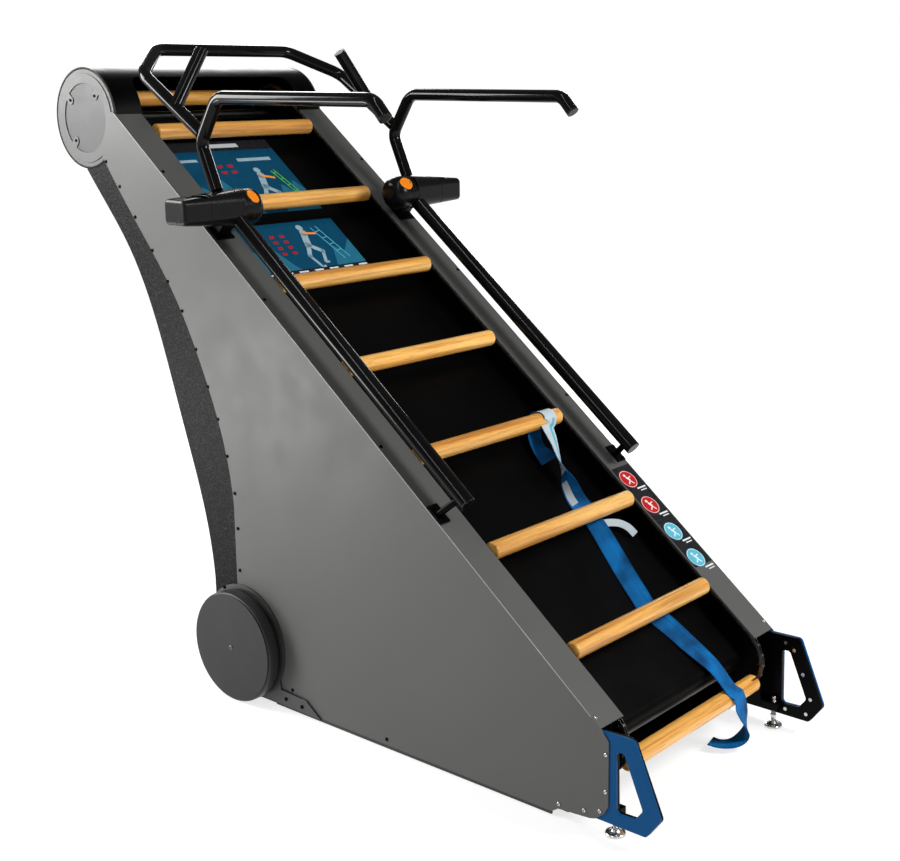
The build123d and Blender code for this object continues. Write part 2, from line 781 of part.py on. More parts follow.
def build_frame():
    save_pair("side_panel", side_panel())
    save("inner_guards", both(inner_guard()))
    save("base_rails", both(base_rail()))
    save("base_skids", both(base_skid()))
    save("base_crossbars", base_crossbars())
    save("ladder_rails", both(ladder_rail()))
    save("rear_posts", both(rear_post()))
    save("deck_crossbars", deck_crossbars())
    save("deck", deck())
    save("bottom_pan", bottom_pan())
    save("rear_cover", rear_cover())
    save("drum_cover", drum_cover())
    save("drum_rings", both(drum_ring()))
    save("drum_discs", both(drum_disc()))
    save("deck_graphic", deck_graphic())
    save("flange_label", flange_label())
    save("screws", all_screws())


def build_ladder():
    rungs, pins = {"front": [], "return": []}, {"front": [], "return": []}
    for number, y, z, angle in rung_places():
        shape = rung(y, z, angle)
        if number in (1, 9):
            save(f"rung_{number:02d}", shape)
            save(f"rung_{number:02d}_pins", rung_pin(y, z))
            continue
        run = "front" if number < 9 else "return"
        rungs[run].append(shape)
        pins[run].append(rung_pin(y, z))
    for run in rungs:
        save("rungs_" + run, group(rungs[run]))
        save("rung_pins_" + run, group(pins[run]))
    save("chains", both(chain()))
    save("upper_shaft", disc(UP_Y, UP_Z, SHAFT_R, -322, 342))
    save("upper_sprockets", both(sprocket(UP_Y, UP_Z, SLOPE)))
    save("lower_shaft", disc(LOW_Y, LOW_Z, SHAFT_R, -322, 322))
    save("lower_sprockets", both(sprocket(LOW_Y, LOW_Z, SLOPE)))
    save("bearings", bearings())


def build_brake():
    save("brake_pulley", brake_pulley())
    save("brake_belt", brake_belt())
    save("brake_rotor", brake_rotor())
    save("brake_mount", brake_mount())


def build_supports():
    save("wheel_plates", both(wheel_plate()))
    save_pair("wheel_tyre", wheel_tyre())
    save_pair("wheel_hub", wheel_hub())
    save_pair("wheel_cover", wheel_cover())
    save("handle_trims", both(handle_sheet(343, 348.8, 0)))
    save("handle_plates", both(handle_sheet(336, 342.8, -3) + foot_socket()))
    save_pair("foot", levelling_foot())


def build_furniture():
    save("front_bars", both(front_bar()))
    save("rear_bar", rear_bar())
    save("end_plugs", end_plugs())
    save("side_rails", both(side_rail()))
    save("rail_stands", both(rail_stand()))
    save("consoles", both(console()))
    save("badges", both(badge()))
    save("cup_holders", both(cup_holder()))
    save("console_mounts", both(console_mount()))
    save("strap", strap())
    save("strap_tail", strap_tail())


build_frame()
build_ladder()
build_brake()
build_supports()
build_furniture()
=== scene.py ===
"""Looks of the vertical climber machine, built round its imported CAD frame.

Metres, +Z up, -Y the user's end.
"""

import math

import bmesh
import bpy
import numpy as np
from mathutils import Matrix, Vector


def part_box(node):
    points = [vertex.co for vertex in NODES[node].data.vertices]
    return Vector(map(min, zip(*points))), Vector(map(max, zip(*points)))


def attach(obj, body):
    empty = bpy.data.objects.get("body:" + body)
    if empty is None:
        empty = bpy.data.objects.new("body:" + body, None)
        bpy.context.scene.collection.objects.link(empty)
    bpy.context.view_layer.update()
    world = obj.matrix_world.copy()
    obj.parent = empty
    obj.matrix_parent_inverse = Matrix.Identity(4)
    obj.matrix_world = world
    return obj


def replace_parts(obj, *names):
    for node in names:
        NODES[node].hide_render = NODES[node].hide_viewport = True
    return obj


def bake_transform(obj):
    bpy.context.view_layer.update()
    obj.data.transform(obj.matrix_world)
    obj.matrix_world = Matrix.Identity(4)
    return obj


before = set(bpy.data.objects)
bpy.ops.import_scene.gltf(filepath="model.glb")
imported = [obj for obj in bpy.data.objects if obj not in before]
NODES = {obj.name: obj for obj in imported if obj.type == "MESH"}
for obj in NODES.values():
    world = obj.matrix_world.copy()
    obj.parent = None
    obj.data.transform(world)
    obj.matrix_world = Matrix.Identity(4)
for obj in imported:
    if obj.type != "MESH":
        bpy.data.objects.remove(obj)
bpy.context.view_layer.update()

# Sizes shared with the CAD source: t runs up the ladder from rung 8, n stands square to it
PITCH = 0.2865
SLOPE = math.radians(38.3)
RUNG8 = Vector((0, -0.6808, 0.340))
ALONG = Vector((0, math.cos(SLOPE), math.sin(SLOPE)))
OUT = Vector((0, -math.sin(SLOPE), math.cos(SLOPE)))
ACROSS = Vector((1, 0, 0))
CHAIN_R = 0.080
CHAIN_X = 0.277
T_LOW = -0.1658
T_UP = T_LOW + 8 * PITCH - math.pi * CHAIN_R
DECK_N = -0.050
FLANGE_N = 0.009

# Strap: its sizes, its bend over a rung, and the rows of its drawn line that carry each sewn or printed piece
STRAP_WIDTH = 0.046
STRAP_THICKNESS = 0.0016
RUNG_BEND_R = 0.0236
ROWS_PER_KEY = 7
SLEEVE_ROWS = slice(40, 106)
STRIPE_ROWS = slice(66, 104)
PATCH_ROWS = slice(109, 121)
TAG_WIDTH = 0.018
TAG_ROWS_PER_KEY = 6

# Printed strip: x of its round marks, and their places t by finish
LABEL_X = 0.303
LABEL_MARKS = {"print_red": (0.331, 0.244), "print_sky": (0.155, 0.069)}

# Flat direction from the machine towards the backdrop that the main view looks at
BACKDROP = (0.78, 0.626, 0)


def slope(x, t, n):
    """Place x across, t up the ladder from rung 8 and n square to the ladder plane."""
    return RUNG8 + ACROSS * x + ALONG * t + OUT * n


# Materials
class Look:
    """A principled material and the few nodes that vary it over the surface."""

    def __init__(self, name, color, roughness, metallic=0.0, **sockets):
        self.mat = bpy.data.materials.new(name)
        self.mat.use_nodes = True
        self.tree = self.mat.node_tree
        self.bsdf = self.tree.nodes["Principled BSDF"]
        self.set(**{"Base Color": (*color, 1), "Roughness": roughness, "Metallic": metallic})
        self.set(**sockets)
        self.coords = self.add("ShaderNodeTexCoord").outputs["Object"]
        self.heights = []

    def add(self, kind, **values):
        node = self.tree.nodes.new(kind)
        for key, value in values.items():
            setattr(node, key, value)
        return node

    def link(self, source, target):
        self.tree.links.new(source, target)

    def set(self, **sockets):
        for key, value in sockets.items():
            self.bsdf.inputs[key.replace("_", " ")].default_value = value

    def scaled(self, vector, scale):
        node = self.add("ShaderNodeMapping")
        node.inputs["Scale"].default_value = scale
        self.link(vector, node.inputs["Vector"])
        return node.outputs["Vector"]

    def stretched(self, scale):
        return self.scaled(self.coords, scale)

    def noise(self, scale, detail=3.0, roughness=0.55, vector=None, distortion=0.0):
        node = self.add("ShaderNodeTexNoise")
        node.inputs["Scale"].default_value = scale
        node.inputs["Detail"].default_value = detail
        node.inputs["Roughness"].default_value = roughness
        node.inputs["Distortion"].default_value = distortion
        self.link(vector or self.coords, node.inputs["Vector"])
        return node.outputs["Fac"]

    def cells(self, scale):
        node = self.add("ShaderNodeTexVoronoi", feature="F1")
        node.inputs["Scale"].default_value = scale
        self.link(self.coords, node.inputs["Vector"])
        return node.outputs["Distance"]

    def wave(self, direction, vector):
        node = self.add("ShaderNodeTexWave", bands_direction=direction, wave_profile="SIN")
        node.inputs["Scale"].default_value = 1.0
        node.inputs["Distortion"].default_value = 0.0
        self.link(vector, node.inputs["Vector"])
        return node.outputs["Fac"]

    def ramp(self, value, stops):
        node = self.add("ShaderNodeValToRGB")
        ends = node.color_ramp.elements
        ends[0].position, ends[1].position = stops[0][0], stops[-1][0]
        ends[0].color, ends[1].color = (*stops[0][1], 1), (*stops[-1][1], 1)
        for place, color in stops[1:-1]:
            ends.new(place).color = (*color, 1)
        self.link(value, node.inputs["Fac"])
        return node.outputs["Color"]

    def mix(self, factor, first, second, blend="MIX"):
        node = self.add("ShaderNodeMix", data_type="RGBA", blend_type=blend)
        for index, value in ((0, factor), (6, first), (7, second)):
            if isinstance(value, (int, float)):
                node.inputs[index].default_value = value
            elif isinstance(value, tuple):
                node.inputs[index].default_value = (*value, 1)
            else:
                self.link(value, node.inputs[index])
        return node.outputs[2]

    def remap(self, value, low, high, start=0.0, end=1.0):
        node = self.add("ShaderNodeMapRange")
        for key, number in (("From Min", start), ("From Max", end), ("To Min", low), ("To Max", high)):
            node.inputs[key].default_value = number
        self.link(value, node.inputs["Value"])
        return node.outputs["Result"]

    def tint(self, color_output):
        self.link(color_output, self.bsdf.inputs["Base Color"])

    def rough(self, value, low, high):
        self.link(self.remap(value, low, high, 0.3, 0.7), self.bsdf.inputs["Roughness"])

    def bump(self, height, distance, strength=1.0):
        node = self.add("ShaderNodeBump")
        node.inputs["Strength"].default_value = strength
        node.inputs["Distance"].default_value = distance
        self.link(height, node.inputs["Height"])
        if self.heights:
            self.link(self.heights[-1].outputs["Normal"], node.inputs["Normal"])
        self.heights.append(node)
        self.link(node.outputs["Normal"], self.bsdf.inputs["Normal"])

    def soft_edges(self, radius):
        """Rounds the shading along edges, as a broken sheet edge catches the light."""
        node = self.add("ShaderNodeBevel", samples=4)
        node.inputs["Radius"].default_value = radius
        if self.heights:
            self.link(node.outputs["Normal"], self.heights[0].inputs["Normal"])
        else:
            self.link(node.outputs["Normal"], self.bsdf.inputs["Normal"])


def varied(color, low, high):
    """The same colour made darker and lighter."""
    return tuple(c * low for c in color), tuple(c * high for c in color)


def painted(name, color, roughness, grain=0.00003, spread=0.10, edge=0.0008, shine=0.5):
    """Powder coat: fine orange peel, slightly uneven tone and gloss."""
    look = Look(name, color, roughness, **{"Specular IOR Level": shine})
    patch = look.noise(2.2, 4)
    darker, lighter = varied(color, 1 - spread, 1 + spread)
    look.tint(look.ramp(patch, [(0.3, darker), (0.7, lighter)]))
    look.rough(look.noise(9, 5), roughness - 0.05, roughness + 0.06)
    look.bump(look.noise(650, 2), grain, 0.6)
    look.soft_edges(edge)
    return look.mat


def make_cast():
    """Bare zinc-coated sheet: mottled grey with a dull shine."""
    look = Look("cast_grey", (0.20, 0.20, 0.205), 0.50, 0.1)
    cloud = look.noise(28, 5, 0.65)
    tone = look.ramp(cloud, [(0.3, (0.012, 0.012, 0.013)), (0.7, (0.038, 0.038, 0.039))])
    spangle = look.ramp(look.cells(240), [(0.2, (0.012, 0.012, 0.013)), (0.8, (0.045, 0.045, 0.045))])
    look.tint(look.mix(0.25, tone, spangle))
    look.rough(cloud, 0.46, 0.60)
    look.bump(look.noise(500, 3), 0.00008, 0.5)
    look.soft_edges(0.0006)
    return look.mat


def make_wood():
    """Varnished wood with its grain along X."""
    look = Look("wood", (0.6, 0.32, 0.09), 0.34, **{"Coat Weight": 0.45, "Coat Roughness": 0.12})
    grain = look.noise(1.0, 6, 0.62, look.stretched((3.0, 95, 95)), 0.4)
    bands = look.noise(1.0, 2, 0.5, look.stretched((1.2, 30, 30)), 0.8)
    dark, middle, pale = (0.62, 0.275, 0.040), (0.80, 0.420, 0.090), (0.90, 0.56, 0.185)
    base = look.ramp(bands, [(0.28, dark), (0.5, middle), (0.74, pale)])
    streak = look.ramp(grain, [(0.34, (0.62, 0.50, 0.38)), (0.5, (0.93, 0.90, 0.86)), (0.62, (1, 1, 1))])
    drift = look.noise(1.0, 0, 0.5, look.stretched((0.6, 4.2, 4.2)))
    tone = look.ramp(drift, [(0.3, (0.84, 0.80, 0.74)), (0.7, (1.1, 1.1, 1.1))])
    pores = look.noise(1.0, 3, 0.6, look.stretched((22, 900, 900)))
    color = look.mix(1.0, base, streak, "MULTIPLY")
    color = look.mix(1.0, color, tone, "MULTIPLY")
    color = look.mix(look.remap(pores, 0.55, 0.0, 0.33, 0.45), color, (0.25, 0.11, 0.03))
    look.tint(color)
    look.rough(grain, 0.30, 0.42)
    look.bump(pores, 0.00006, 0.5)
    look.bump(grain, 0.00012, 0.4)
    return look.mat


def make_black_texture():
    """Coarse wrinkle powder coat of the rear cover."""
    look = Look("black_texture", (0.05, 0.052, 0.05), 0.46, **{"Specular IOR Level": 0.06})
    fine = look.noise(300, 4, 0.6)
    levels = ((0.35, 0.002), (0.52, 0.0045), (0.70, 0.036))
    look.tint(look.ramp(fine, [(place, (level, level, level)) for place, level in levels]))
    look.rough(look.noise(260, 3), 0.34, 0.55)
    look.bump(fine, 0.0006, 0.9)
    look.bump(look.cells(190), 0.0004, 0.5)
    return look.mat


def make_rubber(name, color=(0.014, 0.014, 0.014), roughness=0.72):
    look = Look(name, color, roughness)
    dust = look.noise(14, 5, 0.6)
    _, dusty = varied(color, 1.0, 1.9)
    look.tint(look.ramp(dust, [(0.4, color), (0.75, dusty)]))
    look.rough(dust, roughness - 0.06, roughness + 0.12)
    look.bump(look.noise(900, 3), 0.00008, 0.5)
    return look.mat


def make_gloss_black():
    look = Look("gloss_black", (0.003, 0.003, 0.0033), 0.18, **{"Specular IOR Level": 0.15})
    look.rough(look.noise(24, 4), 0.09, 0.14)
    tone = look.noise(6, 3)
    look.tint(look.ramp(tone, [(0.3, (0.0022, 0.0022, 0.0024)), (0.7, (0.0042, 0.0042, 0.0045))]))
    look.bump(look.noise(380, 1), 0.00002, 0.3)
    return look.mat


def make_plastic(name, color, roughness, grain=0.00007, scale=700, edge=0.001):
    look = Look(name, color, roughness, **{"Specular IOR Level": 0.17})
    darker, lighter = varied(color, 0.9, 1.1)
    look.tint(look.ramp(look.noise(18, 3), [(0.3, darker), (0.7, lighter)]))
    look.rough(look.noise(9, 3), roughness - 0.03, roughness + 0.05)
    look.bump(look.noise(scale, 3), grain, 0.6)
    look.soft_edges(edge)
    return look.mat


def make_metal(name, color, roughness, scale=(240, 240, 240), spread=0.10):
    """Plated or machined metal with faint tool marks."""
    look = Look(name, color, roughness, 1.0)
    marks = look.noise(1.0, 4, 0.6, look.stretched(scale))
    darker, _ = varied(color, 1 - spread, 1.0)
    look.tint(look.ramp(look.noise(30, 3), [(0.3, darker), (0.7, color)]))
    look.rough(marks, roughness - 0.07, roughness + 0.10)
    look.bump(marks, 0.00003, 0.5)
    look.soft_edges(0.0004)
    return look.mat


def make_webbing():
    """Woven strap: close cross ribs and twill, lengthwise streaks, darker selvedges, and painted highlight
    and shade in broad bands along its length.
    """
    sockets = {"Sheen Weight": 0.02, "Specular IOR Level": 0.1}
    look = Look("blue_webbing", (0.010, 0.130, 0.330), 0.5, **sockets)
    uv = look.add("ShaderNodeTexCoord").outputs["UV"]
    split = look.add("ShaderNodeSeparateXYZ")
    look.link(uv, split.inputs[0])
    ribs = look.wave("Y", look.scaled(uv, (1, 210, 1)))
    twill = look.wave("DIAGONAL", look.scaled(uv, (60, 420, 1)))
    low, high = (0.0005, 0.085, 0.280), (0.003, 0.300, 0.780)
    threads = look.mix(0.5, ribs, twill)
    color = look.ramp(threads, [(0.2, low), (0.6, (0.001, 0.180, 0.530)), (0.9, high)])
    # Painted highlight and shade: broad lighter and darker bands along the strap's length
    painted_light_bands = look.noise(1.0, 2, 0.5, look.scaled(uv, (0.6, 13, 1)))
    painted_light_bands = look.ramp(painted_light_bands, [(0.36, (0.32, 0.32, 0.34)), (0.62, (1, 1, 1))])
    lines = look.noise(1.0, 3, 0.6, look.scaled(uv, (34, 3, 1)))
    lines = look.ramp(lines, [(0.32, (0.55, 0.58, 0.62)), (0.62, (1, 1, 1))])
    color = look.mix(1.0, look.mix(1.0, color, painted_light_bands, "MULTIPLY"), lines, "MULTIPLY")
    edge = look.add("ShaderNodeMath", operation="PINGPONG")
    edge.inputs[1].default_value = 0.5
    look.link(split.outputs["X"], edge.inputs[0])
    color = look.mix(look.remap(edge.outputs[0], 0.55, 0.0, 0.035, 0.055), color, (0.0005, 0.040, 0.150))
    look.tint(color)
    look.bump(ribs, 0.0004, 0.7)
    look.bump(twill, 0.0002, 0.5)
    return look.mat


def make_print(name, color, roughness=0.32):
    """Printed vinyl: even ink with a little mottling under a satin film."""
    look = Look(name, color, roughness, **{"Specular IOR Level": 0.05})
    darker, lighter = varied(color, 0.94, 1.05)
    look.tint(look.ramp(look.noise(40, 4), [(0.3, darker), (0.7, lighter)]))
    look.rough(look.noise(26, 4), roughness - 0.05, roughness + 0.07)
    look.bump(look.noise(500, 2), 0.00001, 0.4)
    return look.mat


# The record's material slots, further finishes that stand in for them on single pieces, and the pale grey of
# a painted highlight
MATS = {
    "satin_grey": painted("satin_grey", (0.078, 0.078, 0.0755), 0.46, 0.00002, 0.05, 0.0014, 0.28),
    "black_steel": painted("black_steel", (0.0008, 0.0008, 0.0009), 0.36, 0.00001, 0.15, 0.0006, 0.06),
    "black_texture": make_black_texture(),
    "black_rubber": make_rubber("black_rubber"),
    "print_blue": make_print("print_blue", (0.003, 0.056, 0.115)),
    "print_black": make_print("print_black", (0.016, 0.016, 0.018), 0.28),
    "zinc": make_metal("zinc", (0.62, 0.62, 0.60), 0.26),
    "wood": make_wood(),
    "cast_grey": make_cast(),
    "alu": make_metal("alu", (0.70, 0.70, 0.71), 0.32, (30, 900, 900)),
    "tyre": make_rubber("tyre", (0.016, 0.016, 0.0165), 0.80),
    "plastic_grey": make_plastic("plastic_grey", (0.024, 0.024, 0.024), 0.44),
    "blue_steel": painted("blue_steel", (0.0002, 0.060, 0.185), 0.33, 0.00002, 0.07, 0.0014, 0.09),
    "gloss_black": make_gloss_black(),
    "black_plastic": make_plastic("black_plastic", (0.0028, 0.0028, 0.003), 0.24, 0.000002, 300, 0.0050),
    "orange_plastic": make_plastic("orange_plastic", (0.78, 0.22, 0.012), 0.34, 0.00003, 1200),
    "blue_webbing": make_webbing(),
}
EXTRA = {
    # Pale grey of the painted highlight along the side panels' folds
    "fold_highlight_grey": painted("fold_highlight_grey", (0.30, 0.30, 0.295), 0.40, 0.00002, 0.2),
    "wheel_rim": painted("wheel_rim", (0.026, 0.026, 0.026), 0.40, 0.00003, 0.06, 0.0012, 0.3),
    "dark_steel": make_metal("dark_steel", (0.030, 0.030, 0.031), 0.36, (30, 700, 700)),
    "plate_grey": painted("plate_grey", (0.030, 0.030, 0.0295), 0.42, 0.00004, 0.06),
    "print_light": make_print("print_light", (0.018, 0.140, 0.220)),
    "print_sky": make_print("print_sky", (0.09, 0.38, 0.50)),
    "print_white": make_print("print_white", (0.62, 0.68, 0.70)),
    "print_pale": make_print("print_pale", (0.28, 0.40, 0.46)),
    "print_red": make_print("print_red", (0.42, 0.012, 0.012)),
    "print_green": make_print("print_green", (0.10, 0.42, 0.06)),
    "print_orange": make_print("print_orange", (0.80, 0.28, 0.03)),
    "chain_steel": make_metal("chain_steel", (0.16, 0.155, 0.15), 0.34, (300, 300, 300), 0.3),
    "thread": make_print("thread", (0.03, 0.16, 0.36), 0.7),
    "tag": make_print("tag", (0.44, 0.50, 0.54), 0.55),
}


# Mesh helpers
def piece(name, verts, faces, look, body, smooth=35.0, uvs=None):
    """New mesh object in the shared frame, riding on a CAD body if one is named."""
    mesh = bpy.data.meshes.new(name)
    mesh.from_pydata([tuple(v) for v in verts], [], faces)
    mesh.validate()
    obj = bpy.data.objects.new(name, mesh)
    bpy.context.scene.collection.objects.link(obj)
    mesh.materials.append(MATS.get(look) or EXTRA[look])
    if uvs is not None:
        layer = mesh.uv_layers.new(name="UVMap")
        layer.data.foreach_set("uv", np.array([uvs[l.vertex_index] for l in mesh.loops]).ravel())
    for polygon in mesh.polygons:
        polygon.use_smooth = True
    mesh.set_sharp_from_angle(angle=math.radians(smooth))
    if body:
        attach(obj, body)
    return obj


class Builder:
    """Collects vertices and faces of one piece."""

    def __init__(self):
        self.verts, self.faces = [], []

    def add(self, verts, faces):
        start = len(self.verts)
        self.verts += [Vector(v) for v in verts]
        self.faces += [[start + i for i in face] for face in faces]

    def lathe(self, profile, origin, axis, segments=48, shape=None):
        """Turns (along, radius) points round an axis; a point of radius 0 closes an end."""
        axis = Vector(axis).normalized()
        side = axis.orthogonal().normalized()
        up = axis.cross(side)
        verts, rings = [], []
        for index, (along, radius) in enumerate(profile):
            if radius < 1e-7:
                rings.append([len(verts)])
                verts.append(Vector(origin) + axis * along)
                continue
            ring = []
            for k in range(segments):
                a = math.tau * k / segments
                r = radius * (shape(a, index) if shape else 1.0)
                ring.append(len(verts))
                verts.append(Vector(origin) + axis * along + (side * math.cos(a) + up * math.sin(a)) * r)
            rings.append(ring)
        faces = []
        for low, high in zip(rings, rings[1:]):
            faces += band(low, high, segments)
        self.add(verts, faces)

    def box(self, centre, axes, sizes):
        """Box of the given sizes along three unit axes."""
        verts = []
        for i in (-1, 1):
            for j in (-1, 1):
                for k in (-1, 1):
                    shift = axes[0] * (i * sizes[0] / 2) + axes[1] * (j * sizes[1] / 2)
                    verts.append(Vector(centre) + (shift + axes[2] * (k * sizes[2] / 2)))
        faces = [(0, 1, 3, 2), (4, 6, 7, 5), (0, 4, 5, 1), (2, 3, 7, 6), (0, 2, 6, 4), (1, 5, 7, 3)]
        self.add(verts, faces)

    def done(self, name, look, body):
        obj = piece(name, self.verts, self.faces, look, body)
        tidy_normals(obj)
        return obj


def band(low, high, segments):
    """Faces between two rings, either of which may be a single point."""
    faces = []
    for k in range(segments):
        j = (k + 1) % segments
        if len(low) == 1 and len(high) > 1:
            faces.append((low[0], high[j], high[k]))
        elif len(high) == 1 and len(low) > 1:
            faces.append((low[k], low[j], high[0]))
        elif len(low) > 1:
            faces.append((low[k], low[j], high[j], high[k]))
    return faces


def tidy_normals(obj):
    """Turns every face outwards."""
    mesh = bmesh.new()
    mesh.from_mesh(obj.data)
    bmesh.ops.recalc_face_normals(mesh, faces=mesh.faces)
    mesh.to_mesh(obj.data)
    mesh.free()


def islands(node):
    """The points of each loose solid of a CAD node."""
    mesh = bmesh.new()
    mesh.from_mesh(NODES[node].data)
    bmesh.ops.remove_doubles(mesh, verts=mesh.verts, dist=1e-6)
    seen, found = set(), []
    for vert in mesh.verts:
        if vert in seen:
            continue
        stack, group = [vert], []
        seen.add(vert)
        while stack:
            here = stack.pop()
            group.append(here.co[:])
            for edge in here.link_edges:
                other = edge.other_vert(here)
                if other not in seen:
                    seen.add(other)
                    stack.append(other)
        found.append(np.array(group))
    mesh.free()
    return found


# Pieces
SHADES = {"upper_shaft": "dark_steel", "lower_shaft": "dark_steel", "wheel_plates": "plate_grey"}


def hexagon(angle):
    """Radius of a hexagon with corners at 1, at an angle."""
    return math.cos(math.pi / 6) / math.cos((angle % (math.pi / 3)) - math.pi / 6)


def dress_cad():
    """Gives the CAD nodes their finishes by material slot."""
    for name, obj in NODES.items():
        for index, mat in enumerate(obj.data.materials):
            key = mat.name.split(".")[0]
            if key in MATS:
                obj.data.materials[index] = EXTRA[SHADES[name]] if name in SHADES else MATS[key]


def screw_head(builder, base, axis, radius, height):
    """Button head with a hexagon socket."""
    socket = 0.52
    socket_start = 7

    def shape(angle, index):
        return 1.0 if index < socket_start else hexagon(angle)

    profile = [(0, 0), (0, radius)]
    for step in range(4):
        a = math.radians(15 + step * 22)
        profile.append((height * (0.25 + 0.75 * math.sin(a)), radius * (0.60 + 0.40 * math.cos(a))))
    profile.append((height, radius * 0.585))
    profile += [(height, radius * socket), (height * 0.3, radius * socket * 0.97), (height * 0.25, 0)]
    builder.lathe(profile, base, axis, 24, shape)


def make_screws():
    """Screw heads with sockets where the CAD has plain ones; dark on the panels, bright on the handles."""
    # A head on a side face is thinner than this along X, and an inner face lies inside this x
    side_head_limit = 0.005
    inner_face_limit = 0.337
    black, bright = Builder(), Builder()
    for points in islands("screws"):
        centre = Vector(points.mean(0))
        spread = points.max(0) - points.min(0)
        if spread[0] < side_head_limit:
            inner = abs(centre.x) < inner_face_limit
            axis = Vector((math.copysign(-1.0 if inner else 1.0, centre.x), 0, 0))
            radius = spread[1] / 2
        else:
            inner = False
            axis = OUT
            radius = spread[0] / 2
        along = (points - np.array(centre)) @ np.array(axis)
        height = along.max() - along.min()
        base = centre + axis * along.min()
        on_handle = centre.y < -0.60 and centre.z < 0.30
        bold = inner or on_handle
        screw_head(bright if bold else black, base, axis, radius, height)
    dark = black.done("panel_screw_heads", "black_steel", "frame")
    bright.done("bright_screw_heads", "zinc", "frame")
    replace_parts(dark, "screws")


def make_wheels():
    """Tyres with rounded shoulders, cover discs and their pins."""
    rim_radius = 0.1221
    cover_x, pin_x = 0.3972, 0.4000
    for side, name in ((-1, "left"), (1, "right")):
        low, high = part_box("wheel_tyre_" + name)
        y, z = (low.y + high.y) / 2, (low.z + high.z) / 2
        radius = (high.z - low.z) / 2
        inner, outer = min(abs(low.x), abs(high.x)), max(abs(low.x), abs(high.x))
        axis = (side, 0, 0)
        width = outer - inner
        profile = [(0, rim_radius), (0, radius - 0.004), (0.0012, radius - 0.0012), (0.004, radius)]
        profile += [(width - 0.004, radius), (width - 0.0012, radius - 0.0012), (width, radius - 0.004)]
        profile += [(width, rim_radius), (0, rim_radius)]
        tyre = Builder()
        tyre.lathe(profile, (side * inner, y, z), axis, 128)
        tread = tyre.done("tyre_tread_" + name, "wheel_rim", "wheel_" + name)
        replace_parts(tread, "wheel_tyre_" + name)
        cover = Builder()
        profile = [(0, 0), (0, 0.1376), (0.0006, 0.1380), (0.0022, 0.1380), (0.0028, 0.1374), (0.0028, 0)]
        cover.lathe(profile, (side * cover_x, y, z), axis, 128)
        disc = cover.done("wheel_disc_" + name, "plastic_grey", "wheel_" + name)
        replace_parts(disc, "wheel_cover_" + name)
        pin = Builder()
        screw_head(pin, (side * pin_x, y, z), axis, 0.0060, 0.0020)
        pin.done("wheel_pin_" + name, "chain_steel", "wheel_" + name)


def make_foot_shade_strips():
    """Black strips below the side panels, down to just above the floor: painted shade, a dark sheet standing
    for the shade in the gap under each panel.
    """
    axes = (ACROSS, Vector((0, 1, 0)), Vector((0, 0, 1)))
    x, y, z = 0.3478, -0.257, 0.0072
    thickness, length, height = 0.0050, 0.878, 0.0085
    shade_strips = Builder()
    for side in (-1, 1):
        # Painted shade: a dark sheet under each panel's lower edge
        shade_strips.box(Vector((side * x, y, z)), axes, (thickness, length, height))
    shade_strips.done("foot_shade_strips", "black_rubber", "frame")


def make_drum_rims():
    """Darker rolled rims round both ends of the top cylinder."""
    low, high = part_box("drum_rings")
    y, z = (low.y + high.y) / 2, (low.z + high.z) / 2
    radius = (high.z - low.z) / 2
    rim_x = 0.3484
    rims = Builder()
    for side in (-1, 1):
        profile = [(0, radius - 0.0050), (0, radius + 0.0006), (0.0007, radius + 0.0006)]
        profile += [(0.0011, radius), (0.0011, radius - 0.0044)]
        profile += [(0.0007, radius - 0.0050), (0, radius - 0.0050)]
        rims.lathe(profile, (side * rim_x, y, z), (side, 0, 0), 128)
    rims.done("drum_rims", "black_steel", "frame")


def make_fold_lines():
    """Painted highlight: a thin pale strip along the outer fold of each side panel, where the fold catches
    the light.
    """
    x, middle, length = 0.3510, 0.820, 1.930
    lines = Builder()
    for side in (-1, 1):
        centre = slope(side * x, middle, FLANGE_N - 0.0006)
        lines.box(centre, (ACROSS, ALONG, OUT), (0.0010, length, 0.0014))
    lines.done("fold_highlight_lines", "fold_highlight_grey", "frame")


def squircle(angle, half_width, half_height, power=3.1):
    """Radius of a rounded rectangle at an angle."""
    total = abs(math.cos(angle) / half_width) ** power + abs(math.sin(angle) / half_height) ** power
    return total ** (-1 / power)


def make_console_trims():
    """Collars on the console barrels and the seam of each cup housing's end cap."""
    low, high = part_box("consoles")
    y, z = (low.y + high.y) / 2, (low.z + high.z) / 2
    profile = [(0, 0.975), (0, 0.995), (0.0007, 1.014), (0.0025, 1.014)]
    profile += [(0.0032, 0.995), (0.0032, 0.975), (0, 0.975)]
    barrel_radius = 0.044
    collar_places = (0.2795, 0.2885)
    seam_places = (0.3040, 0.3980)
    housing_start, housing_length = 0.3003, 0.1777
    trims = Builder()
    for side in (-1, 1):
        for place in collar_places:
            ring = [(along, radius * barrel_radius) for along, radius in profile]
            trims.lathe(ring, (side * place, y, z), (side, 0, 0), 96)
        for place in seam_places:
            share = (place - housing_start) / housing_length
            half_width, half_height = 0.0435 - 0.0045 * share, 0.0435 - 0.0135 * share
            power = 3.1 + 2.2 * share
            start = side * math.pi / 4

            def section(angle, index, size=(half_width, half_height, power), start=start):
                return squircle(angle + start, *size)

            trims.lathe(profile, (side * place, y, z), (side, 0, 0), 96, section)
    trims.done("console_trims", "black_plastic", "frame")


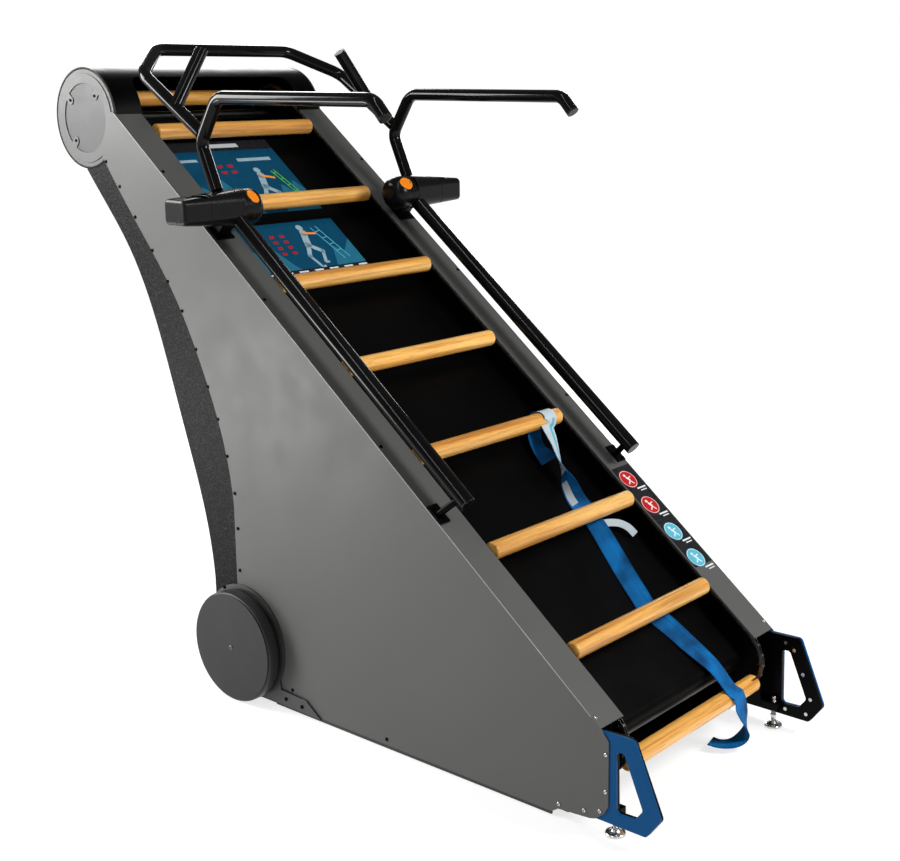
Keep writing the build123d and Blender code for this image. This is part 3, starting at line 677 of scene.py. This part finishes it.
def make_feet():
    """Levelling feet: a turned pad, a threaded stem and a hexagon nut."""
    crest, root = 0.0057, 0.0050
    thread_start, thread_step = 0.016, 0.0009
    nut_z = 0.0238
    nut = [(0, 0.0056), (0, 0.0071), (0.0006, 0.0077)]
    nut += [(0.0072, 0.0077), (0.0078, 0.0071), (0.0078, 0.0056)]
    for name in ("left", "right"):
        low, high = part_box("foot_" + name)
        x, y = (low.x + high.x) / 2, (low.y + high.y) / 2
        foot = Builder()
        profile = [(0, 0), (0, 0.0205), (0.0012, 0.0220), (0.0052, 0.0220), (0.0066, 0.0208)]
        profile += [(0.0072, 0.0170), (0.0105, 0.0105), (0.0145, 0.0080), (0.0150, 0.0056)]
        top = high.z - low.z
        place, turn = thread_start, 0
        while place < top - 0.003:
            profile.append((place, crest if turn % 2 else root))
            place += thread_step
            turn += 1
        profile += [(top - 0.001, root), (top, 0.0042), (top, 0)]
        foot.lathe(profile, (x, y, low.z), (0, 0, 1), 40)
        foot.lathe(nut, (x, y, nut_z), (0, 0, 1), 48, lambda angle, index: hexagon(angle))
        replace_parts(foot.done("levelling_foot_" + name, "zinc", "foot_" + name), "foot_" + name)


def make_badges():
    """Round orange discs with a raised rim, tipped towards the user."""
    radius = 0.0192
    group = Builder()
    for points in islands("badges"):
        centre = Vector(points.mean(0))
        normal = Vector((-math.copysign(0.25, centre.x), -0.72, 0.64)).normalized()
        along = (points - np.array(centre)) @ np.array(normal)
        base = centre + normal * along.min()
        height = along.max() - along.min()
        profile = [(0, 0), (0, radius), (height - 0.0016, radius), (height - 0.0006, radius - 0.0007)]
        profile += [(height, radius - 0.0020), (height - 0.0001, radius - 0.0034)]
        profile += [(height - 0.0009, radius - 0.0044)]
        profile += [(height - 0.0008, radius * 0.5), (height - 0.0007, 0)]
        group.lathe(profile, base, normal, 64)
    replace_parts(group.done("orange_discs", "orange_plastic", "frame"), "badges")


def make_chains():
    """Roller chain round the two sprockets on each side."""
    straight = T_UP - T_LOW
    total = 2 * straight + math.tau * CHAIN_R
    count = 182
    pitch = total / count

    def at(run):
        """Place (t, n) on the loop, a given length along it from the lower sprocket."""
        run %= total
        if run < straight:
            return T_LOW + run, 0.0
        run -= straight
        if run < math.pi * CHAIN_R:
            a = math.pi / 2 - run / CHAIN_R
            return T_UP + CHAIN_R * math.cos(a), -CHAIN_R + CHAIN_R * math.sin(a)
        run -= math.pi * CHAIN_R
        if run < straight:
            return T_UP - run, -2 * CHAIN_R
        a = -math.pi / 2 - (run - straight) / CHAIN_R
        return T_LOW + CHAIN_R * math.cos(a), -CHAIN_R + CHAIN_R * math.sin(a)

    chain = Builder()
    for side in (-1, 1):
        for index in range(count):
            t0, n0 = at(index * pitch)
            t1, n1 = at((index + 1) * pitch)
            here, there = slope(side * CHAIN_X, t0, n0), slope(side * CHAIN_X, t1, n1)
            forward = (there - here).normalized()
            square = ACROSS.cross(forward)
            gap = 0.0042 if index % 2 else 0.0030
            for way in (-1, 1):
                centre = (here + there) / 2 + ACROSS * (way * gap)
                chain.box(centre, (forward, square, ACROSS), (pitch + 0.006, 0.0082, 0.0011))
            for half, radius, sides in ((0.0049, 0.0026, 8), (0.0024, 0.0044, 10)):
                chain.lathe([(-half, 0), (-half, radius), (half, radius), (half, 0)], here, ACROSS, sides)
    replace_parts(chain.done("roller_chains", "chain_steel", "frame"), "chains")


def polygon_on(builder, points, n, thickness=0.0002):
    """Flat printed shape on the slope, (x, t) corners."""
    low = [slope(x, t, n) for x, t in points]
    high = [slope(x, t, n + thickness) for x, t in points]
    size = len(points)
    faces = [tuple(range(size))[::-1], tuple(range(size, 2 * size))]
    for k in range(size):
        j = (k + 1) % size
        faces.append((k, j, size + j, size + k))
    builder.add(low + high, faces)


def round_spot(x, t, radius, sides=40):
    """Corners of a disc."""
    angles = [math.tau * k / sides for k in range(sides)]
    return [(x + radius * math.cos(a), t + radius * math.sin(a)) for a in angles]


def bar(x0, t0, x1, t1, width):
    """Corners of a bar between two points."""
    dx, dt = x1 - x0, t1 - t0
    size = math.hypot(dx, dt)
    ux, ut = -dt / size * width / 2, dx / size * width / 2
    return [(x0 + ux, t0 + ut), (x0 - ux, t0 - ut), (x1 - ux, t1 - ut), (x1 + ux, t1 + ut)]


def figure(x, t):
    """Plain climbing figure made of rounded limbs."""
    joints = [(0.0, -0.020), (-0.016, -0.066), (0.016, -0.092)]
    joints += [(-0.002, -0.132), (-0.038, -0.104), (-0.024, -0.146)]
    chest, hip, knee, foot, knee_back, foot_back = [(x + a, t + b) for a, b in joints]
    limbs = ((chest, hip, 0.021), (hip, knee, 0.014), (knee, foot, 0.010))
    limbs += ((hip, knee_back, 0.013), (knee_back, foot_back, 0.009))
    rounds = ((chest, 0.0115), (hip, 0.0105), (knee, 0.0065), (knee_back, 0.0060))
    parts = [round_spot(x, t, 0.0105)]
    parts += [bar(*start, *end, width) for start, end, width in limbs]
    parts += [round_spot(*place, size) for place, size in rounds]
    parts += [bar(a - 0.002, b, a + 0.013, b + 0.001, 0.007) for a, b in (foot, foot_back)]
    return parts


def make_poster():
    """Plain printed panels: a black band, blue fields and generic shapes without lettering."""
    top = DECK_N + 0.0009
    left, right = -0.262, 0.130
    upper, lower = 1.440, 1.213
    bands = [
        [(left, 1.690), (right, 1.690), (right, 1.728), (left, 1.728)],
        [(left, lower), (right, lower), (right, 1.229), (left, 1.229)],
    ]
    dashes = [bar(-0.215 + k * 0.052, 1.221, -0.185 + k * 0.052, 1.221, 0.005) for k in range(7)]
    hills = [
        [(left, upper), (-0.200, 1.555), (-0.165, 1.520), (-0.128, 1.590), (-0.090, 1.500), (-0.060, upper)],
        [(0.010, upper), (0.060, 1.545), (0.085, 1.515), (0.108, 1.560), (right, 1.520), (right, upper)],
        [(left, lower), (-0.225, 1.330), (-0.196, 1.300), (-0.160, 1.360), (-0.110, 1.250), (-0.085, lower)],
        [(0.020, lower), (0.062, 1.300), (0.084, 1.272), (right, 1.318), (right, lower)],
    ]
    headings = [bar(-0.020, 1.650, 0.095, 1.650, 0.012), bar(-0.225, 1.655, -0.150, 1.655, 0.010)]
    climbers = [*figure(0.018, 1.606), *figure(0.000, 1.376)]
    marks = [bar(-0.135 + k * 0.034, 1.628 - j * 0.024, -0.118 + k * 0.034, 1.628 - j * 0.024, 0.010)
             for k in range(3) for j in range(2)]
    marks += [bar(-0.118 + k * 0.034, 1.352 - j * 0.021, -0.104 + k * 0.034, 1.352 - j * 0.021, 0.009)
              for k in range(2) for j in range(4)]
    arms = [bar(0.014, 1.585, 0.058, 1.572, 0.008), bar(-0.004, 1.355, 0.040, 1.350, 0.007)]
    green = [bar(0.062, 1.600, 0.094, 1.500, 0.0035), bar(0.074, 1.604, 0.106, 1.504, 0.0035)]
    green += [bar(0.066 + k * 0.008, 1.590 - k * 0.025, 0.077 + k * 0.008, 1.593 - k * 0.025, 0.003)
              for k in range(4)]
    pale = [bar(0.036, 1.372, 0.070, 1.250, 0.003), bar(0.056, 1.376, 0.090, 1.254, 0.003)]
    pale += [bar(0.041 + k * 0.007, 1.355 - k * 0.025, 0.061 + k * 0.007, 1.359 - k * 0.025, 0.0026)
             for k in range(4)]
    layers = (
        ("print_black", bands, 0.0003),
        ("print_white", [bar(-0.080, 1.709, 0.020, 1.709, 0.015)] + dashes, 0.0004),
        ("print_light", hills, 0.0002),
        ("print_pale", headings + climbers, 0.0003),
        ("print_red", marks, 0.0003),
        ("print_orange", arms, 0.0004),
        ("print_green", green, 0.0004),
        ("print_sky", pale, 0.0004),
    )
    for look, shapes, lift in layers:
        group = Builder()
        for points in shapes:
            polygon_on(group, points, top, lift)
        obj = group.done("poster_" + look, look, "frame")


def make_label():
    """Four plain round marks and short bars on the right-hand flange strip."""
    top = FLANGE_N + 0.0006
    raised = top + 0.0002
    strokes = ((-0.003, 0.007, 0.004, -0.006, 0.0062), (0.002, -0.005, 0.009, -0.017, 0.0036))
    strokes += ((0.001, -0.006, -0.010, -0.014, 0.0036), (0.002, 0.003, 0.014, 0.006, 0.0030))
    white = Builder()
    for look, places in LABEL_MARKS.items():
        group = Builder()
        for t in places:
            polygon_on(group, round_spot(LABEL_X, t, 0.0275, 64), top, 0.0002)
            outer, inner = round_spot(LABEL_X, t, 0.0262, 64), round_spot(LABEL_X, t, 0.0248, 64)
            for k in range(64):
                j = (k + 1) % 64
                polygon_on(white, [outer[k], outer[j], inner[j], inner[k]], raised, 0.0001)
            polygon_on(white, round_spot(LABEL_X - 0.004, t + 0.0125, 0.0042, 24), raised, 0.0001)
            for x0, t0, x1, t1, width in strokes:
                polygon_on(white, bar(LABEL_X + x0, t + t0, LABEL_X + x1, t + t1, width), raised, 0.0001)
            for start, end, drop, width in ((0.307, 0.341, 0.033, 0.0044), (0.314, 0.338, 0.041, 0.0030)):
                polygon_on(white, bar(start, t - drop, end, t - drop, width), top, 0.0002)
        group.done("label_" + look, look, "frame")
    white.done("label_white", "print_white", "frame")


def rung_spot(number):
    """Axis of rung 6, 7, 8 (on the slope) or 9 (on the lower sprocket arc)."""
    if number <= 8:
        return (8 - number) * PITCH, 0.0
    turn = (PITCH + T_LOW) / CHAIN_R
    return T_LOW - CHAIN_R * math.sin(turn), -CHAIN_R + CHAIN_R * math.cos(turn)


def round_rung(t, n, places):
    """Key places on an arc round a rung's axis, from (angle, x) pairs."""
    spots = []
    for angle, x in places:
        a = math.radians(angle)
        spots.append((x, t + RUNG_BEND_R * math.cos(a), n + RUNG_BEND_R * math.sin(a)))
    return spots


def strap_keys():
    """Key places of the strap's middle, each with the direction of its width."""
    over_rung6 = ((-100, 0.182), (-60, 0.190), (-20, 0.198), (20, 0.204))
    over_rung6 += ((60, 0.208), (100, 0.208), (140, 0.203), (168, 0.194))
    over_rung9 = ((76, 0.149), (98, 0.153), (120, 0.157), (141, 0.162))
    # x, t, n and the turn of the width about the strap's own line, in degrees
    places = [(0.158, 0.474, -0.034, -30), (0.159, 0.495, -0.034, -22)]
    places += [(0.160, 0.520, -0.034, -4), (0.171, 0.548, -0.031, 0)]
    places += [(*spot, 0) for spot in round_rung(*rung_spot(6), over_rung6)]
    places += [(0.180, 0.522, 0.005, -14), (0.167, 0.487, 0.001, -27), (0.156, 0.452, -0.008, -37)]
    places += [(0.149, 0.420, -0.016, -62), (0.143, 0.385, -0.024, -105), (0.139, 0.345, -0.032, -136)]
    places += [(0.143, 0.300, -0.0345, -150), (0.138, 0.262, -0.035, -150), (0.122, 0.200, -0.034, -142)]
    places += [(0.104, 0.130, -0.034, -140), (0.091, 0.070, -0.034, -143), (0.084, 0.025, -0.035, -146)]
    places += [(0.093, -0.010, -0.0355, -148), (0.105, -0.045, -0.0365, -150), (0.116, -0.090, -0.037, -156)]
    places += [(0.1265, -0.131, -0.037, -164), (0.136, -0.170, -0.0375, -174)]
    places += [(0.1445, -0.206, -0.0455, -180)]
    places += [(*spot, -180) for spot in round_rung(*rung_spot(9), over_rung9)]
    keys = []
    last = len(places) - 1
    for i, (x, t, n, turn) in enumerate(places):
        before, after = slope(*places[max(i - 1, 0)][:3]), slope(*places[min(i + 1, last)][:3])
        forward = (after - before).normalized()
        flat = (ACROSS - forward * ACROSS.dot(forward)).normalized()
        keys.append((*slope(x, t, n), *(Matrix.Rotation(math.radians(turn), 3, forward) @ flat)))
    # The hanging end: place and width direction along X, Y and Z
    keys += [(0.168, -0.8512, 0.111, -1, 0, 0), (0.177, -0.8528, 0.092, -0.99, -0.10, 0)]
    keys += [(0.186, -0.8540, 0.073, -0.95, -0.30, 0), (0.191, -0.8545, 0.054, -0.82, -0.56, 0)]
    keys += [(0.190, -0.853, 0.037, -0.6, -0.8, 0.05), (0.180, -0.848, 0.0235, -0.42, -0.9, 0.05)]
    keys += [(0.165, -0.840, 0.0160, -0.45, -0.88, 0.02), (0.149, -0.829, 0.0145, -0.62, -0.78, 0)]
    keys += [(0.136, -0.812, 0.0155, -0.82, -0.56, 0), (0.131, -0.793, 0.018, -0.92, -0.36, 0)]
    return keys


def smooth_keys(keys, steps):
    """A Catmull-Rom curve through the keys, with this many rows from each key to the next."""
    pts = np.array(keys, float)
    pts = np.vstack([2 * pts[0] - pts[1], pts, 2 * pts[-1] - pts[-2]])
    out = []
    for i in range(1, len(pts) - 2):
        p0, p1, p2, p3 = pts[i - 1], pts[i], pts[i + 1], pts[i + 2]
        for k in range(steps):
            u = k / steps
            cubic = (2 * p0 - 5 * p1 + 4 * p2 - p3) * u * u + (3 * p1 - p0 - 3 * p2 + p3) * u ** 3
            out.append(0.5 * (2 * p1 + (p2 - p0) * u + cubic))
    out.append(pts[-2])
    return np.array(out)


def square_to(forward, flat):
    """A width direction made square to the run, and the normal of the two."""
    flat = (flat - forward * flat.dot(forward)).normalized()
    return flat, forward.cross(flat).normalized()


def webbing_strip(name, line, width, thickness, look, margin=1.0):
    """Closed strip along rows of place and width direction. Returns the piece and its length."""
    across = 10
    crown_height = 0.0011
    rows = len(line)
    centres = [Vector(row[:3]) for row in line]
    verts, uvs, faces, run = [], [], [], 0.0
    for i, centre in enumerate(centres):
        forward = (centres[min(i + 1, rows - 1)] - centres[max(i - 1, 0)]).normalized()
        flat, normal = square_to(forward, Vector(line[i][3:6]))
        run += (centre - centres[i - 1]).length if i else 0.0
        for side in (1, -1):
            for k in range(across + 1):
                u = k / across - 0.5
                crown = crown_height * (0.08 - u * u)
                verts.append(centre + flat * (u * width * margin) + normal * (crown + side * thickness / 2))
                uvs.append((u + 0.5, run))
    half = across + 1
    size = 2 * half
    for i in range(rows - 1):
        a, b = i * size, (i + 1) * size
        for k in range(across):
            faces.append((a + k, a + k + 1, b + k + 1, b + k))
            faces.append((a + half + k + 1, a + half + k, b + half + k, b + half + k + 1))
        faces.append((a + across, a + size - 1, b + size - 1, b + across))
        faces.append((a, b, b + half, a + half))
    for a, flip in ((0, False), ((rows - 1) * size, True)):
        for k in range(across):
            quad = (a + k, a + half + k, a + half + k + 1, a + k + 1)
            faces.append(quad[::-1] if flip else quad)
    obj = piece(name, verts, faces, look, None, 50, uvs)
    tidy_normals(obj)
    return obj, run


def shifted(line, offset):
    """The same rows moved sideways along their width."""
    rows = np.array(line)
    rows[:, :3] += rows[:, 3:6] / np.linalg.norm(rows[:, 3:6], axis=1)[:, None] * offset
    return rows


def make_strap():
    """The webbing with what is sewn or printed on it, and its small label."""
    line = smooth_keys(strap_keys(), ROWS_PER_KEY)
    strap, length = webbing_strip("webbing_strap", line, STRAP_WIDTH, STRAP_THICKNESS, "blue_webbing")
    printed, _ = webbing_strip("strap_sleeve", line[SLEEVE_ROWS], STRAP_WIDTH, 0.0022, "tag", 0.98)
    stripe, _ = webbing_strip("strap_stripe", shifted(line[STRIPE_ROWS], 0.011), 0.009, 0.0027, "print_sky")
    patch, _ = webbing_strip("strap_patch", shifted(line[PATCH_ROWS], 0.010), 0.018, 0.0026, "tag")
    for part in (printed, stripe, patch):
        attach(part, "front_run")
    stitches = make_stitches(line)
    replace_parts(strap, "strap", "strap_tail")
    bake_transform(strap)
    tag_line = smooth_keys(tag_keys(), TAG_ROWS_PER_KEY)
    tag, tag_length = webbing_strip("strap_tag", tag_line, TAG_WIDTH, 0.0006, "tag")
    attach(tag, "front_run")


def tag_keys():
    """Small plain label sewn to the strap's edge below rung 7."""
    places = [(0.160, 0.262, -0.031), (0.182, 0.254, -0.027), (0.204, 0.243, -0.026)]
    places += [(0.222, 0.226, -0.028), (0.232, 0.204, -0.033)]
    width_way = ALONG * 0.75 + OUT * 0.6 + ACROSS * 0.25
    return [(*slope(*place), *width_way) for place in places]


def make_stitches(line):
    """Rows of thread where the strap's free end is sewn."""
    thread = Builder()
    for i in range(len(line) - 12, len(line) - 2, 2):
        centre = Vector(line[i][:3])
        forward = (Vector(line[i + 1][:3]) - Vector(line[i - 1][:3])).normalized()
        flat, normal = square_to(forward, Vector(line[i][3:6]))
        for u in (-0.36, -0.18, 0, 0.18, 0.36):
            for side in (-1, 1):
                place = centre + flat * (u * STRAP_WIDTH) + normal * side * 0.0010
                thread.box(place, (forward, flat, normal), (0.0034, 0.0007, 0.0005))
    obj = thread.done("strap_stitches", "thread", "strap_tail")
    return obj


def make_stage():
    """Floor that glows pale, more so towards the backdrop, where it meets the white world."""
    size = 80
    corners = [(x * size, y * size, -0.0005) for x, y in ((-1, -1), (1, -1), (1, 1), (-1, 1))]
    floor = bpy.data.objects.new("floor", bpy.data.meshes.new("floor"))
    floor.data.from_pydata(corners, [], [(0, 1, 2, 3)])
    bpy.context.scene.collection.objects.link(floor)
    sockets = {"Emission Color": (1, 1, 1, 1), "Specular IOR Level": 0.1}
    look = Look("floor", (0.32, 0.32, 0.32), 0.75, **sockets)
    look.tint(look.ramp(look.noise(3, 3), [(0.3, (0.315, 0.315, 0.315)), (0.7, (0.325, 0.325, 0.325))]))
    ahead = look.add("ShaderNodeVectorMath", operation="DOT_PRODUCT")
    ahead.inputs[1].default_value = BACKDROP
    look.link(look.coords, ahead.inputs[0])
    glow = look.remap(ahead.outputs["Value"], 0.76, 1.0, 0.6, 2.6)
    look.link(glow, look.bsdf.inputs["Emission Strength"])
    floor.data.materials.append(look.mat)


def area_light(name, place, target, size, power):
    data = bpy.data.lights.new(name, "AREA")
    data.shape = "RECTANGLE"
    data.size, data.size_y = size
    data.energy = power
    light = bpy.data.objects.new(name, data)
    light.location = place
    light.rotation_euler = (Vector(target) - Vector(place)).to_track_quat("-Z", "Y").to_euler()
    light.visible_camera = False
    bpy.context.scene.collection.objects.link(light)


def make_world():
    """White low down towards the backdrop, dim everywhere else."""
    world = bpy.data.worlds.new("studio")
    bpy.context.scene.world = world
    world.use_nodes = True
    tree = world.node_tree
    sky = tree.nodes["Background"]
    coords = tree.nodes.new("ShaderNodeTexCoord")
    split = tree.nodes.new("ShaderNodeSeparateXYZ")
    ahead = tree.nodes.new("ShaderNodeVectorMath")
    ahead.operation = "DOT_PRODUCT"
    ahead.inputs[1].default_value = BACKDROP
    both = tree.nodes.new("ShaderNodeMath")
    both.operation = "MULTIPLY"

    def remapped(value, start, end, low, high):
        node = tree.nodes.new("ShaderNodeMapRange")
        for key, number in (("From Min", start), ("From Max", end), ("To Min", low), ("To Max", high)):
            node.inputs[key].default_value = number
        tree.links.new(value, node.inputs["Value"])
        return node.outputs[0]

    tree.links.new(coords.outputs["Generated"], ahead.inputs[0])
    tree.links.new(coords.outputs["Generated"], split.inputs[0])
    tree.links.new(remapped(split.outputs["Z"], 0.10, 0.17, 1.0, 0.0), both.inputs[0])
    tree.links.new(remapped(ahead.outputs["Value"], 0.60, 0.85, 0.12, 1.0), both.inputs[1])
    tree.links.new(remapped(both.outputs[0], 0.0, 1.0, 0.16, 1.0), sky.inputs["Color"])
    sky.inputs["Strength"].default_value = 1.0


def make_light():
    make_world()
    area_light("key", (-1.50, 2.15, 1.95), (-0.35, 0.85, 1.20), (0.9, 1.3), 84)
    area_light("low", (-1.9, 1.9, 0.35), (-0.35, 0.5, 0.5), (0.9, 0.5), 26)
    area_light("side", (-3.6, -1.4, 2.0), (-0.35, -0.4, 0.4), (1.2, 1.2), 2)
    area_light("front", (0.9, -2.9, 2.5), (0, -0.5, 0.55), (1.1, 0.8), 108)
    area_light("top", (-1.45, -0.35, 2.95), (-0.2, 0.0, 0.85), (0.10, 3.2), 22)
    area_light("back", (1.6, 3.0, 2.6), (0, 0.5, 0.9), (1.6, 1.2), 60)
    area_light("right", (3.2, 1.6, 1.6), (0.3, 0, 0.8), (0.8, 1.0), 26)


def make_camera():
    data = bpy.data.cameras.new("camera")
    camera = bpy.data.objects.new("camera", data)
    camera.location = (-2.5601, -2.4315, 1.5497)
    camera.rotation_euler = (math.radians(77.794), 0, math.radians(-51.21))
    data.lens = 57.45
    data.sensor_width = 36
    data.shift_x = -0.0961
    data.shift_y = -0.0505
    bpy.context.scene.collection.objects.link(camera)
    bpy.context.scene.camera = camera
    bpy.context.scene.view_settings.view_transform = "Standard"


dress_cad()
make_screws()
make_wheels()
make_feet()
make_foot_shade_strips()
make_drum_rims()
make_fold_lines()
make_console_trims()
make_badges()
make_chains()
make_poster()
make_label()
make_strap()
make_stage()
make_light()
make_camera()
